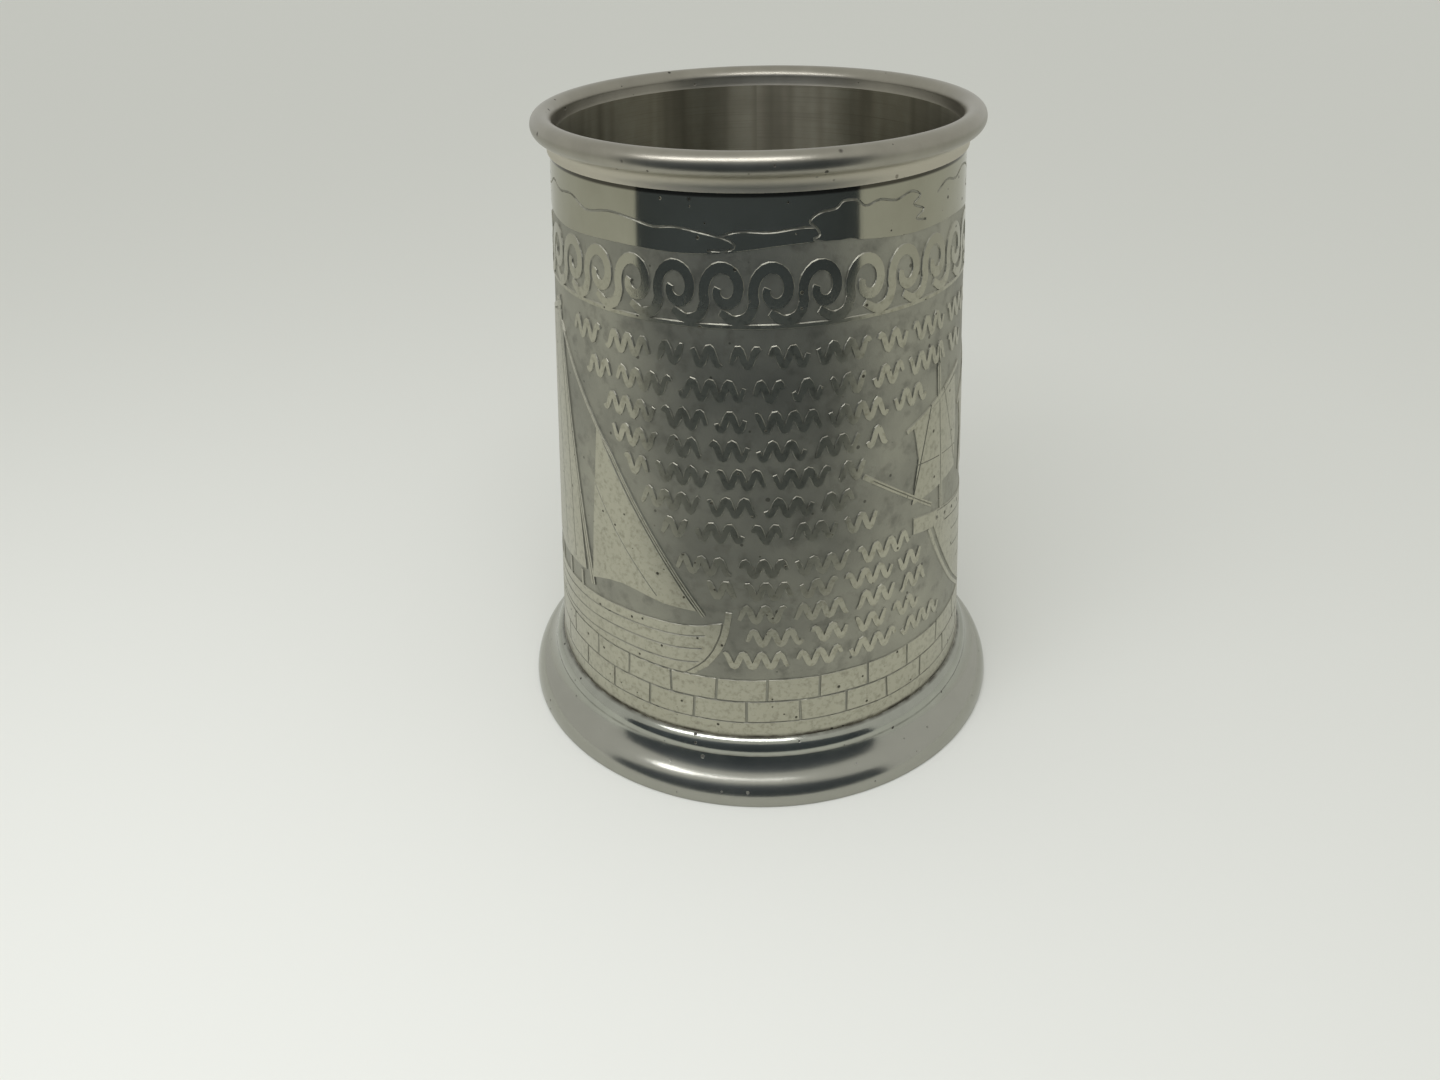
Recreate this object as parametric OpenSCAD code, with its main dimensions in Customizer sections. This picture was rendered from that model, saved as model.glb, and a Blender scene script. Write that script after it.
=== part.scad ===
// One-pint tankard with a glass base.
// The axis of the body is Z, the foot stands on z = 0 and the handle is at +Y.
// Lengths are in millimetres.

/* [Body] */
// Height from the table to the top of the lip
height = 124; // [110:1:140]
// Outer radius of the body where it meets the foot
body_low_r = 45.6; // [42:0.1:47]
// Outer radius of the body where it meets the lip mount
body_top_r = 37.9; // [35:0.1:38.2]
// Thickness of the body sheet
body_wall = 1.0; // [0.8:0.1:1.3]
// Width of the solder line down the back of the body
seam_w = 0.6; // [0.4:0.1:1]

/* [Lip] */
// Radius from the axis to the middle of the lip bead
lip_r = 39; // [38.6:0.1:39.6]
// Radius of the round lip bead
bead_r = 2; // [1.7:0.1:2.2]
// Height of the lip mount
lip_h = 6.5; // [6:0.1:8]
// How far the collar stands out from the body
collar_step = 0.5; // [0.4:0.1:0.7]
// Radius of the hollow between collar and bead
cove_r = 2.2; // [1.8:0.1:2.4]
// How far the lip mount laps over the body
lip_lap = 3; // [2:0.1:3.4]

/* [Foot] */
// Outer radius of the foot
foot_r = 53; // [51:0.1:56]
// Height of the foot
foot_h = 12.1; // [11.8:0.1:13]
// Thickness of the flared flank
foot_wall = 1.3; // [1:0.1:1.6]
// Width of the ring that the foot stands on
hem_w = 2.4; // [2:0.1:3]
// Radius of the rounded lower part of the flank
ovolo_r = 6; // [5.4:0.1:6.6]
// Radius of the hollow upper part of the flank
cavetto_r = 8; // [7.4:0.1:8.6]
// Steepness of the flank where the two curves meet, in degrees
flank_angle = 54; // [50:1:56]

/* [Base] */
// Thickness of the glass disc
glass_t = 4; // [3:0.1:4.5]
// Radius of the glass disc
glass_r = 43.2; // [42.5:0.1:43.4]
// Inner radius of the ring that the glass is pressed up against
seat_r = 38; // [36:0.1:39]
// Thickness of that ring's flange
seat_t = 1.2; // [1:0.1:1.5]
// Thickness of the sealing compound round the glass
seal_t = 0.4; // [0.3:0.1:0.6]

/* [Handle] */
// Width of the handle at the grip
handle_w = 15; // [13:0.5:17]
// Depth of the handle at the grip
handle_d = 9; // [8:0.5:10]
// Thickness of the cast handle wall
handle_wall = 1.5; // [1.3:0.1:1.8]

/* [Hidden] */

$fn = 96;
solder_t = 0.15;              // film of solder in each lap joint
body_z = 9;                   // lower edge of the body sheet
collar_z = height - lip_h;    // lower edge of the lip mount
body_top = collar_z + lip_lap;
taper = (body_low_r - body_top_r) / (collar_z - foot_h);

// Outer radius of the body at height z.
function body_r(z) = body_low_r - taper * (z - foot_h);

// n + 1 points on an arc round c, from angle a to angle b.
function arc(c, r, a, b, n) =
    [for (i = [0 : n]) c + r * [cos(a + (b - a) * i / n), sin(a + (b - a) * i / n)]];

// A ring of the body's cone, from d_in to d_out outside the body's outer face.
module cone_ring(z_low, z_high, d_in, d_out) {
    rotate_extrude()
        polygon([[body_r(z_low) + d_in, z_low], [body_r(z_low) + d_out, z_low],
                 [body_r(z_high) + d_out, z_high], [body_r(z_high) + d_in, z_high]]);
}

// ---- Body: a sheet rolled into a cone, and the solder that closes it ----

// The narrow slab at the back where the edges of the sheet face each other.
module seam_slab() {
    translate([-seam_w / 2, 0, body_z - 1])
        cube([seam_w, foot_r, height]);
}

module barrel() {
    color("silver")
        difference() {
            cone_ring(body_z, body_top, -body_wall, 0);
            seam_slab();
        }
}

module barrel_seam() {
    color("lightgray")
        intersection() {
            cone_ring(body_z, body_top, -body_wall, 0);
            seam_slab();
        }
}

// ---- Lip: a collar, a hollow and a round bead in one ring ----

bead_c = [lip_r, height - bead_r];
collar_r = body_r(collar_z) + collar_step;
cove_dx = lip_r - collar_r - cove_r;
cove_dz = sqrt(pow(bead_r + cove_r, 2) - pow(cove_dx, 2));
cove_c = [collar_r + cove_r, bead_c.y - cove_dz];
cove_angle = atan2(cove_dz, cove_dx);     // where the hollow runs into the bead

module lip_mount() {
    color("silver")
        rotate_extrude()
            polygon(concat(
                [[body_r(collar_z) + solder_t, collar_z], [collar_r, collar_z]],
                arc(cove_c, cove_r, 180, cove_angle, 8),
                arc(bead_c, bead_r, cove_angle - 180, 180, 28),
                [[body_r(body_top) - body_wall, body_top], [body_r(body_top) + solder_t, body_top]]));
}

module lip_solder() {
    color("lightgray")
        cone_ring(collar_z, body_top, 0, solder_t);
}

// ---- Foot: a spun flare with a round shoulder and a folded hem ----

edge = 0.3;                   // chamfer on both lower edges
shoulder_r = 3.7;             // radius of the shoulder's curve
shoulder_angle = 64;          // its slope where it meets the body
shoulder_c = [body_r(foot_h) + solder_t, foot_h] - shoulder_r * [cos(shoulder_angle), sin(shoulder_angle)];
crease_z = foot_h - 3.2;      // the crease between shoulder and flank
shoulder_end = asin((crease_z - shoulder_c.y) / shoulder_r);
ovolo_c = [foot_r - ovolo_r, edge];
cavetto_c = ovolo_c + (ovolo_r + cavetto_r) * [cos(flank_angle), sin(flank_angle)];
crease_angle = asin((cavetto_c.y - crease_z) / cavetto_r);
under_z = body_z - 1.1;       // underside of the ledge that carries the body
ledge_play = 0.13;            // how far the ledge stays back from the body's inner face
ledge_r = body_r(body_z) - body_wall + ledge_play;
under_angle = asin((cavetto_c.y - under_z) / (cavetto_r + foot_wall));
hem_r = foot_r - hem_w;
hem_z = 1.8;                  // height of the hem's inner face
hem_angle = 32;               // where the fold of the hem runs out up the flank

module foot_ring() {
    color("silver")
        rotate_extrude()
            polygon(concat(
                arc(shoulder_c, shoulder_r, shoulder_angle, shoulder_end, 10),
                arc(cavetto_c, cavetto_r, 180 + crease_angle, 180 + flank_angle, 8),
                arc(ovolo_c, ovolo_r, flank_angle - 5, 0, 10),
                [[foot_r - edge, 0], [hem_r + edge, 0], [hem_r, edge], [hem_r, hem_z]],
                arc(ovolo_c, ovolo_r - foot_wall, hem_angle, flank_angle, 4),
                arc(cavetto_c, cavetto_r + foot_wall, 175 + flank_angle, 180 + under_angle, 6),
                [[ledge_r, under_z], [ledge_r, body_z], [body_r(body_z) + solder_t, body_z]]));
}

module foot_solder() {
    color("lightgray")
        cone_ring(body_z, foot_h, 0, solder_t);
}

// ---- Base: a glass disc between a seat ring above it and a retaining ring below ----

glass_z = 9.3;                            // underside of the glass
seal_r = glass_r + seal_t;                // the compound also fills the gap round the edge
flange_z = glass_z + glass_t + seal_t;    // underside of the seat ring's flange
seat_top = flange_z + seat_t;
retainer_t = 1.2;
retainer_z = glass_z - retainer_t;
retainer_r = 44.5;

module seat_ring() {
    color("silver")
        rotate_extrude()
            polygon([[seal_r, glass_z], [body_r(glass_z) - body_wall - solder_t, glass_z],
                     [body_r(seat_top) - body_wall - solder_t, seat_top], [seat_r, seat_top],
                     [seat_r, flange_z], [seal_r, flange_z]]);
}

module seat_solder() {
    color("lightgray")
        cone_ring(glass_z, seat_top, -body_wall - solder_t, -body_wall);
}

module glass_seal() {
    color("dimgray")
        rotate_extrude()
            polygon([[glass_r, glass_z], [seal_r, glass_z], [seal_r, flange_z],
                     [seat_r + seal_t, flange_z], [seat_r + seal_t, flange_z - seal_t],
                     [glass_r, flange_z - seal_t]]);
}

module glass_base() {
    color("lightblue", 0.5)
        translate([0, 0, glass_z])
            cylinder(h = glass_t, r = glass_r);
}

module glass_retainer() {
    color("silver")
        translate([0, 0, retainer_z])
            difference() {
                cylinder(h = retainer_t, r = retainer_r);
                translate([0, 0, -1])
                    cylinder(h = retainer_t + 2, r = seat_r + 1);
            }
}

// Solder between the retaining ring, the foot's ledge and the body's inner face.
module retainer_solder() {
    color("lightgray")
        rotate_extrude()
            polygon([[retainer_r, retainer_z], [ledge_r, retainer_z], [ledge_r, body_z],
                     [body_r(body_z) - body_wall, body_z], [body_r(glass_z) - body_wall, glass_z],
                     [retainer_r, glass_z]]);
}

// ---- Handle: two hollow cast halves that meet on x = 0, soldered to the body ----

root_gap = 0.3;               // solder between the body and the ends of the handle
top_z = height - 20;          // middle of the upper joint
low_z = 38;                   // middle of the lower joint
top_y = body_r(top_z) + root_gap;
low_y = body_r(low_z) + root_gap;
reach = 82;                   // distance from the axis to the middle of the grip

// The middle line of the handle as [y, z], from the upper joint to the lower one.
route = [[top_y - 9, top_z - 3], [top_y, top_z], [top_y + 11, top_z + 3.6], [reach - 20, top_z + 4.6],
         [reach - 9, top_z - 0.5], [reach - 2, top_z - 11], [reach, top_z - 25],
         [reach - 4, top_z - 39], [reach - 13, low_z + 15], [reach - 25, low_z + 5],
         [low_y, low_z], [low_y - 12, low_z - 2]];
steps = 5;                    // rings between two points of the route
spans = len(route) - 3;
rings = spans * steps;
sides = 10;                   // facets round half of the handle

function mix4(a, b, c, d, t) =
    0.5 * (2 * b + (c - a) * t + (2 * a - 5 * b + 4 * c - d) * t * t
           + (3 * b - a - 3 * c + d) * t * t * t);
function route_at(u) =
    let (i = min(floor(u), spans - 1), t = u - i)
    mix4(route[i], route[i + 1], route[i + 2], route[i + 3], t);
function route_dir(u) =
    let (d = route_at(min(u + 0.02, spans)) - route_at(max(u - 0.02, 0))) d / norm(d);

// The section grows at both joints and at the thumb rest, and narrows down the grip.
function bump(s, at, w) = exp(-pow((s - at) / w, 2));
function half_w(s) = handle_w / 2 * (1 - 0.26 * s + 0.22 * bump(s, 0, 0.06) + 0.16 * bump(s, 0.24, 0.07)
                                     + 0.4 * bump(s, 1, 0.07));
function half_d(s) = handle_d / 2 * (1 - 0.2 * s + 0.2 * bump(s, 0, 0.06) + 0.06 * bump(s, 0.26, 0.06)
                                     + 0.4 * bump(s, 1, 0.07));

// A point of ring k at angle a round the section, less a wall thickness.
function section(k, a, inset, side) =
    let (u = k / steps, s = k / rings, c = route_at(u), d = route_dir(u),
         x = side * (half_w(s) - inset) * cos(a), n = (half_d(s) - inset) * sin(a),
         y = c.x - n * d.y, z = c.y + n * d.x)
    [x, (k == 0 || k == rings) ? sqrt(pow(body_r(z) + root_gap, 2) - x * x) : y, z];

loop = 2 * (sides + 1);       // points in one ring of one half
function half_points(side) =
    [for (k = [0 : rings])
        each concat([for (i = [0 : sides]) section(k, -90 + 180 * i / sides, 0, side)],
                    [for (i = [sides : -1 : 0]) section(k, -90 + 180 * i / sides, handle_wall, side)])];
half_skin =
    [for (k = [0 : rings - 1], i = [0 : loop - 1])
        let (a = k * loop + i, b = k * loop + (i + 1) % loop)
        each [[a, b, b + loop], [a, b + loop, a + loop]]];
function half_cap(first) =
    [for (i = [0 : sides - 1])
        let (a = first + i, b = first + i + 1, c = first + loop - 2 - i, d = first + loop - 1 - i)
        each [[a, d, c], [a, c, b]]];
function flip(faces) = [for (f = faces) [f[2], f[1], f[0]]];
half_faces = concat(half_skin, half_cap(0), flip(half_cap(rings * loop)));

module handle_right() {
    color("silver")
        polyhedron(half_points(1), flip(half_faces), convexity = 6);
}

module handle_left() {
    color("silver")
        polyhedron(half_points(-1), half_faces, convexity = 6);
}

// A pad of solder under one end of the handle, shaped to the body.
module root_pad(z, s) {
    intersection() {
        cone_ring(z - 15, z + 15, 0, root_gap);
        translate([0, foot_r, z])
            rotate([90, 0, 0])
                linear_extrude(height = foot_r)
                    difference() {
                        polygon([for (i = [0 : 31]) let (a = i * 11.25)
                            [(half_w(s) + 0.5) * cos(a), (half_d(s) + 0.5) * sin(a)]]);
                        polygon([for (i = [0 : 31]) let (a = i * 11.25)
                            [(half_w(s) - handle_wall) * cos(a), (half_d(s) - handle_wall) * sin(a)]]);
                    }
    }
}

module handle_upper_solder() {
    color("lightgray")
        root_pad(top_z, 0);
}

module handle_lower_solder() {
    color("lightgray")
        root_pad(low_z, 1);
}

barrel();
barrel_seam();
lip_mount();
lip_solder();
foot_ring();
foot_solder();
seat_ring();
seat_solder();
glass_seal();
glass_base();
glass_retainer();
retainer_solder();
handle_left();
handle_right();
handle_upper_solder();
handle_lower_solder();
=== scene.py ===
import bisect
import bpy
import math
import random
from mathutils import Matrix, Vector
from mathutils.geometry import delaunay_2d_cdt


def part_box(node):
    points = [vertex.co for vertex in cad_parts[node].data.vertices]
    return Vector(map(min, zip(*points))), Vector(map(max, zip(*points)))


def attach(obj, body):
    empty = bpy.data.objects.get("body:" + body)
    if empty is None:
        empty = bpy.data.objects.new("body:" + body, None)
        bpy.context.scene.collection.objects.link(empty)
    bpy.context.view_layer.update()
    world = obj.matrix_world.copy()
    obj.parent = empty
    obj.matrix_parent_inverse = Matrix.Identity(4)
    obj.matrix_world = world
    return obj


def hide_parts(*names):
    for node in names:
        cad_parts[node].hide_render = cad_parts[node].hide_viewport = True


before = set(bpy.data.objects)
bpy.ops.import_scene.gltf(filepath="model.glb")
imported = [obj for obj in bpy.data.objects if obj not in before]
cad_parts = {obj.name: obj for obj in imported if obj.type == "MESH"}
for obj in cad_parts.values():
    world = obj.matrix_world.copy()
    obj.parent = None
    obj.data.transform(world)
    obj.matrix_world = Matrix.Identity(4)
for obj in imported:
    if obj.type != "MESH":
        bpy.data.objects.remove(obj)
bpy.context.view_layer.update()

MM = 0.001
MEAN_R = 0.042              # the body's mean radius in metres, for patterns that go round it


# ---- Camera and stage ----

def make_camera():
    """A 27 mm lens, 161 mm above the table and looking 32 degrees down."""
    place = Vector((0, -207.22, 161.32)) * MM
    pitch, yaw, roll = math.radians(32.322), math.radians(-2.4435), math.radians(-1.6007)
    ahead = Vector((math.sin(yaw) * math.cos(pitch), math.cos(yaw) * math.cos(pitch), -math.sin(pitch)))
    right = Vector((math.cos(yaw), -math.sin(yaw), 0))
    up = right.cross(ahead)
    tilted_right = right * math.cos(roll) + up * math.sin(roll)
    tilted_up = up * math.cos(roll) - right * math.sin(roll)
    turn = Matrix((tilted_right, tilted_up, -ahead)).transposed().to_4x4()
    data = bpy.data.cameras.new("camera")
    data.lens = 26.955
    data.sensor_width = 36
    data.clip_start = 0.01
    camera = bpy.data.objects.new("camera", data)
    camera.matrix_world = Matrix.Translation(place) @ turn
    bpy.context.scene.collection.objects.link(camera)
    bpy.context.scene.camera = camera


def make_panel(name, corners, colour):
    """A flat matt panel of the stage, from corners in mm."""
    mesh = bpy.data.meshes.new(name)
    mesh.from_pydata([Vector(c) * MM for c in corners], [], [tuple(range(len(corners)))])
    panel = bpy.data.objects.new(name, mesh)
    n = Nodes(name, colour, 0.9, metallic=0.0)
    n.shader.inputs["Specular IOR Level"].default_value = 0.2
    mesh.materials.append(n.material)
    bpy.context.scene.collection.objects.link(panel)
    return panel


def make_light(name, place, aim, size, power, colour=(1, 1, 1)):
    data = bpy.data.lights.new(name, "AREA")
    data.shape = "RECTANGLE"
    data.size, data.size_y = size[0] * MM, size[1] * MM
    data.energy = power
    data.color = colour
    lamp = bpy.data.objects.new(name, data)
    lamp.location = Vector(place) * MM
    lamp.rotation_euler = (Vector(aim) - Vector(place)).to_track_quat("-Z", "Y").to_euler()
    bpy.context.scene.collection.objects.link(lamp)
    return lamp


def make_stage():
    """A pale table and soft light from above. The metal reflects a dark opening in front of it and a
    strip of bright window over that, and only the reflections show them."""
    far = 3000
    make_panel("floor", [(-far, -far, 0), (far, -far, 0), (far, far, 0), (-far, far, 0)], (0.80, 0.81, 0.772))
    near, back, top = -112, -400, 340
    opening = make_panel("dark_opening", [(-206, near, 0.3), (128, near, 0.3), (540, back, top),
                                          (-886, back, top)], (0.072, 0.086, 0.102))
    opening.visible_camera = False
    opening.visible_diffuse = False
    opening.visible_shadow = False
    opening.visible_transmission = False
    world = bpy.data.worlds.new("studio")
    world.use_nodes = True
    sky = world.node_tree.nodes["Background"]
    sky.inputs["Color"].default_value = (1.0, 1.005, 0.965, 1)
    sky.inputs["Strength"].default_value = 0.68
    bpy.context.scene.world = world
    top_box = make_light("top_box", (-95, -175, 350), (-95, -175, 0), (340, 130), 0.62, (1.0, 1.0, 1.04))
    top_box.visible_glossy = False
    window = make_light("window", (-72, -142, 264), (-72, -142, 0), (260, 45), 0.27, (1.0, 1.0, 1.04))
    window.visible_diffuse = False
    bpy.context.scene.view_settings.view_transform = "Standard"


# ---- Node materials ----

class Nodes:
    """Adds nodes to one material and links them. Lengths inside the textures are in metres."""

    upright = 0.25          # the turn of the tangent that stretches highlights up and down the body

    def __init__(self, name, colour, roughness, metallic=1.0, anisotropy=0.0):
        self.material = bpy.data.materials.new(name)
        self.material.use_nodes = True
        self.tree = self.material.node_tree
        self.shader = self.tree.nodes["Principled BSDF"]
        self.shader.inputs["Base Color"].default_value = (*colour, 1)
        self.shader.inputs["Roughness"].default_value = roughness
        self.shader.inputs["Metallic"].default_value = metallic
        self.shader.inputs["Anisotropic"].default_value = anisotropy
        self.shader.inputs["Anisotropic Rotation"].default_value = self.upright
        self.place = self.add("ShaderNodeTexCoord").outputs["Object"]

    def add(self, kind, **values):
        node = self.tree.nodes.new(kind)
        for key, value in values.items():
            setattr(node, key, value)
        return node

    def put(self, socket, value):
        if isinstance(value, bpy.types.NodeSocket):
            self.tree.links.new(value, socket)
        else:
            socket.default_value = value

    def math(self, operation, a, b=0.0, c=0.0, clamp=False):
        node = self.add("ShaderNodeMath", operation=operation, use_clamp=clamp)
        for socket, value in zip(node.inputs, (a, b, c)):
            self.put(socket, value)
        return node.outputs[0]

    def split(self):
        node = self.add("ShaderNodeSeparateXYZ")
        self.put(node.inputs[0], self.place)
        return node.outputs

    def round_body(self):
        """(length round the body, radius, height), so that a pattern follows the turning."""
        x, y, z = self.split()
        turn = self.math("ARCTAN2", x, self.math("MULTIPLY", y, -1.0))
        radius = self.math("SQRT", self.math("ADD", self.math("POWER", x, 2.0), self.math("POWER", y, 2.0)))
        node = self.add("ShaderNodeCombineXYZ")
        for socket, value in zip(node.inputs, (self.math("MULTIPLY", turn, MEAN_R), radius, z)):
            self.put(socket, value)
        return node.outputs[0]

    def stretched(self, vector, scale, turn=(0, 0, 0)):
        node = self.add("ShaderNodeMapping")
        self.put(node.inputs["Vector"], vector)
        node.inputs["Scale"].default_value = scale
        node.inputs["Rotation"].default_value = turn
        return node.outputs[0]

    def noise(self, vector, scale, detail=3.0, rough=0.55):
        node = self.add("ShaderNodeTexNoise")
        self.put(node.inputs["Vector"], vector)
        node.inputs["Scale"].default_value = scale
        node.inputs["Detail"].default_value = detail
        node.inputs["Roughness"].default_value = rough
        return node.outputs["Fac"]

    def ramp(self, value, *stops):
        """Maps a number to a grey value through (position, value) stops."""
        node = self.add("ShaderNodeValToRGB")
        self.put(node.inputs["Fac"], value)
        while len(node.color_ramp.elements) < len(stops):
            node.color_ramp.elements.new(0.5)
        for element, (position, grey) in zip(node.color_ramp.elements, stops):
            element.position = position
            element.color = (grey, grey, grey, 1)
        return node.outputs["Color"]

    def mix(self, share, a, b):
        node = self.add("ShaderNodeMix", data_type="RGBA")
        self.put(node.inputs[0], share)
        for socket, value in ((node.inputs[6], a), (node.inputs[7], b)):
            self.put(socket, (*value, 1) if isinstance(value, tuple) else value)
        return node.outputs[2]

    def specks(self, size, share, spread=0.32):
        """1 inside small scattered spots: about one cell in 1 / share has a spot."""
        node = self.add("ShaderNodeTexVoronoi")
        self.put(node.inputs["Vector"], self.place)
        node.inputs["Scale"].default_value = 1 / size
        chance = self.add("ShaderNodeSeparateColor")
        self.put(chance.inputs[0], node.outputs["Color"])
        chosen = self.math("LESS_THAN", chance.outputs[0], share)
        wide, fade = self.math("MULTIPLY", chance.outputs[1], spread), 0.08
        spot = self.math("DIVIDE", self.math("SUBTRACT", wide, node.outputs["Distance"]), fade, clamp=True)
        return self.math("MULTIPLY", spot, chosen)

    def bump(self, height, depth, under=None):
        """A bump of the given depth in metres, on top of another one."""
        node = self.add("ShaderNodeBump")
        node.inputs["Strength"].default_value = 1.0
        node.inputs["Distance"].default_value = depth
        self.put(node.inputs["Height"], height)
        if under is not None:
            self.put(node.inputs["Normal"], under)
        return node.outputs[0]

    def finish(self, colour=None, roughness=None, normal=None):
        for name, value in (("Base Color", colour), ("Roughness", roughness), ("Normal", normal)):
            if value is not None:
                self.put(self.shader.inputs[name], value)
        return self.material


def scratches(n):
    """Fine hairline scratches in three directions, 0 to 1."""
    marks = None
    for scale, turn in (((260, 4200, 90), (0.3, 0.5, 0.2)), ((3900, 240, 120), (1.2, 0.1, 0.9)),
                        ((120, 4600, 300), (0.7, 1.1, 0.4))):
        lines = n.ramp(n.noise(n.stretched(n.place, scale, turn), 1.0, 1.0), (0.70, 0.0), (0.76, 1.0))
        marks = lines if marks is None else n.math("MAXIMUM", marks, lines)
    return marks


def polished_face():
    """The raised parts of the picture: bright in the sky, duller and mottled lower down.
    A dark line under the lip is painted shadow of its overhang, with grime; grime also lies just above the
    foot."""
    n = Nodes("pewter_raised", (0.38, 0.37, 0.3), 0.25)
    height, sky_low, lip_edge, foot_edge = n.split()[2], 106 * MM, 116.6 * MM, 12.9 * MM
    worn = n.math("DIVIDE", n.math("SUBTRACT", sky_low, height), 8 * MM, clamp=True)
    blotch = n.noise(n.place, 90, 4)
    mottle = n.noise(n.place, 900, 3, 0.65)
    fine = n.noise(n.place, 3000, 3, 0.7)
    pits = n.math("MAXIMUM", n.specks(0.0012, 0.13), n.specks(0.0036, 0.12, 0.14))
    marks = scratches(n)
    colour = n.mix(n.ramp(blotch, (0.3, 0.0), (0.7, 1.0)), (0.36, 0.348, 0.275), (0.42, 0.41, 0.33))
    colour = n.mix(n.math("MULTIPLY", worn, 0.35), colour, (0.52, 0.505, 0.40))
    dark = n.math("MULTIPLY", n.ramp(mottle, (0.48, 0.0), (0.72, 0.55)), worn)
    colour = n.mix(dark, colour, (0.19, 0.18, 0.135))
    colour = n.mix(n.math("MULTIPLY", pits, 0.8), colour, (0.045, 0.04, 0.03))
    # Painted shadow: a dark line just under the lip's edge, where its overhang shades the body, with some
    # grime.
    shadow_and_grime_under_lip = n.math("DIVIDE", n.math("SUBTRACT", height, lip_edge), 0.3 * MM, clamp=True)
    by_foot = n.math("DIVIDE", n.math("SUBTRACT", foot_edge, height), 0.5 * MM, clamp=True)
    ragged = n.ramp(n.noise(n.place, 300, 4), (0.35, 0.4), (0.6, 1.0))
    # The painted shade under the lip and the grime above the foot darken the colour together.
    grime_and_painted_shade = n.math("MAXIMUM", shadow_and_grime_under_lip, n.math("MULTIPLY", by_foot, ragged))
    colour = n.mix(n.math("MULTIPLY", grime_and_painted_shade, 0.88), colour, (0.045, 0.04, 0.032))
    rough = n.math("MULTIPLY_ADD", blotch, 0.08, n.math("MULTIPLY_ADD", worn, 0.20, 0.06))
    rough = n.math("MULTIPLY_ADD", marks, 0.08, n.math("MULTIPLY_ADD", pits, 0.3, rough))
    grain = n.math("MULTIPLY", fine, n.math("MULTIPLY_ADD", worn, 0.3, 0.02))
    wave = n.bump(n.noise(n.place, 55, 2), 0.00005)
    return n.finish(colour, rough, n.bump(n.math("MULTIPLY_ADD", pits, -1.0, grain), 0.00004, wave))


def etched_ground():
    """The ground eaten back by the acid: dark, dull and grainy."""
    n = Nodes("pewter_etched", (0.29, 0.29, 0.24), 0.42)
    blotch = n.noise(n.place, 60, 5, 0.6)
    cloud = n.noise(n.place, 300, 4)
    grain = n.noise(n.place, 3200, 3, 0.7)
    colour = n.mix(n.ramp(blotch, (0.32, 0.0), (0.66, 1.0)), (0.285, 0.282, 0.238), (0.405, 0.398, 0.33))
    colour = n.mix(n.ramp(cloud, (0.52, 0.0), (0.74, 0.5)), colour, (0.135, 0.133, 0.115))
    colour = n.mix(n.math("MULTIPLY", n.specks(0.0016, 0.12), 0.6), colour, (0.04, 0.036, 0.03))
    rough = n.math("MULTIPLY_ADD", grain, 0.2, n.math("MULTIPLY_ADD", blotch, 0.12, 0.34))
    return n.finish(colour, rough, n.bump(grain, 0.00003, n.bump(cloud, 0.00006)))


def brushed_inside():
    """The inside of the body: fine lines left by turning, dull and a little brown."""
    n = Nodes("pewter_inside", (0.45, 0.43, 0.36), 0.46, anisotropy=1.0)
    flat = n.round_body()
    lines = n.noise(n.stretched(flat, (22, 1, 5200)), 1.0, 4, 0.65)
    bands = n.noise(n.stretched(flat, (6, 1, 700)), 1.0, 3)
    stain = n.noise(n.place, 110, 4)
    streaks = n.noise(n.stretched(flat, (130, 1, 9)), 1.0, 2)
    colour = n.mix(n.ramp(stain, (0.35, 0.0), (0.7, 1.0)), (0.29, 0.275, 0.21), (0.37, 0.355, 0.275))
    colour = n.mix(n.ramp(lines, (0.52, 0.0), (0.72, 0.5)), colour, (0.18, 0.165, 0.12))
    colour = n.mix(n.ramp(streaks, (0.46, 0.0), (0.66, 0.75)), colour, (0.17, 0.158, 0.118))
    rough = n.math("MULTIPLY_ADD", bands, 0.14, 0.34)
    return n.finish(colour, rough, n.bump(lines, 0.000012, n.bump(bands, 0.00001)))


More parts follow.
